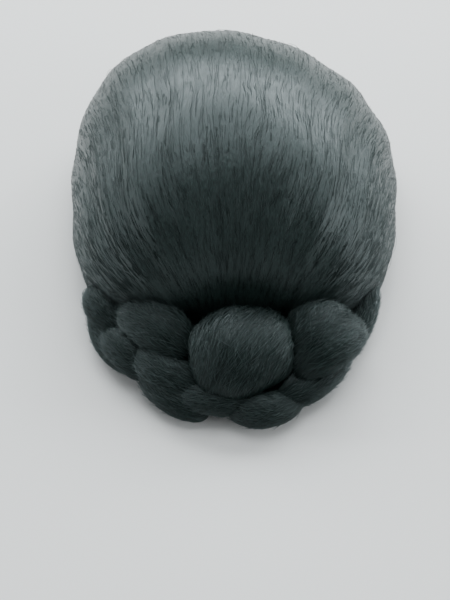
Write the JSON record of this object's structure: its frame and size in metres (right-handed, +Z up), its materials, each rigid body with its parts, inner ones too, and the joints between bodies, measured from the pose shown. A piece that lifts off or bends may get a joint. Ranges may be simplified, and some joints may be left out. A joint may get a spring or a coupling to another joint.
{
  "type": "top knot hairpiece",
  "caption": "Padded dome hairpiece of combed hair over a net cap, gathered low at the back above a knot of coiled locks, open below for the head.",
  "frame": {"origin": "middle of the piece's plan, on the surface that the rim stands on", "axes": "+Z up from the rim to the top of the dome, +Y towards the front of the head, +X towards the wearer's right, so the knot is at -Y"},
  "size_m": [0.1877, 0.2449, 0.1079],
  "materials": {
    "hair": "smooth combed black synthetic hair with a cool sheen",
    "lock_hair": "black synthetic hair wound in glossy locks",
    "net": "matt black net",
    "elastic": "matt black elastic",
    "comb": "smooth black plastic"
  },
  "bodies": {
    "root": {"dome_hair": "hair", "knot_core": "hair", "centre_lock": "lock_hair", "right_lock": "lock_hair", "left_lock": "lock_hair", "crescent_lock": "lock_hair", "left_upper_lock": "lock_hair", "left_outer_lock": "lock_hair", "right_lower_lock": "lock_hair", "lower_centre_lock": "lock_hair", "lower_left_lock": "lock_hair", "lower_right_lock": "lock_hair", "left_edge_lock": "lock_hair", "right_edge_lock": "lock_hair", "cap_net": "net", "edge_band": "elastic", "front_comb": "comb", "back_comb": "comb"}
  },
  "joints": []
}
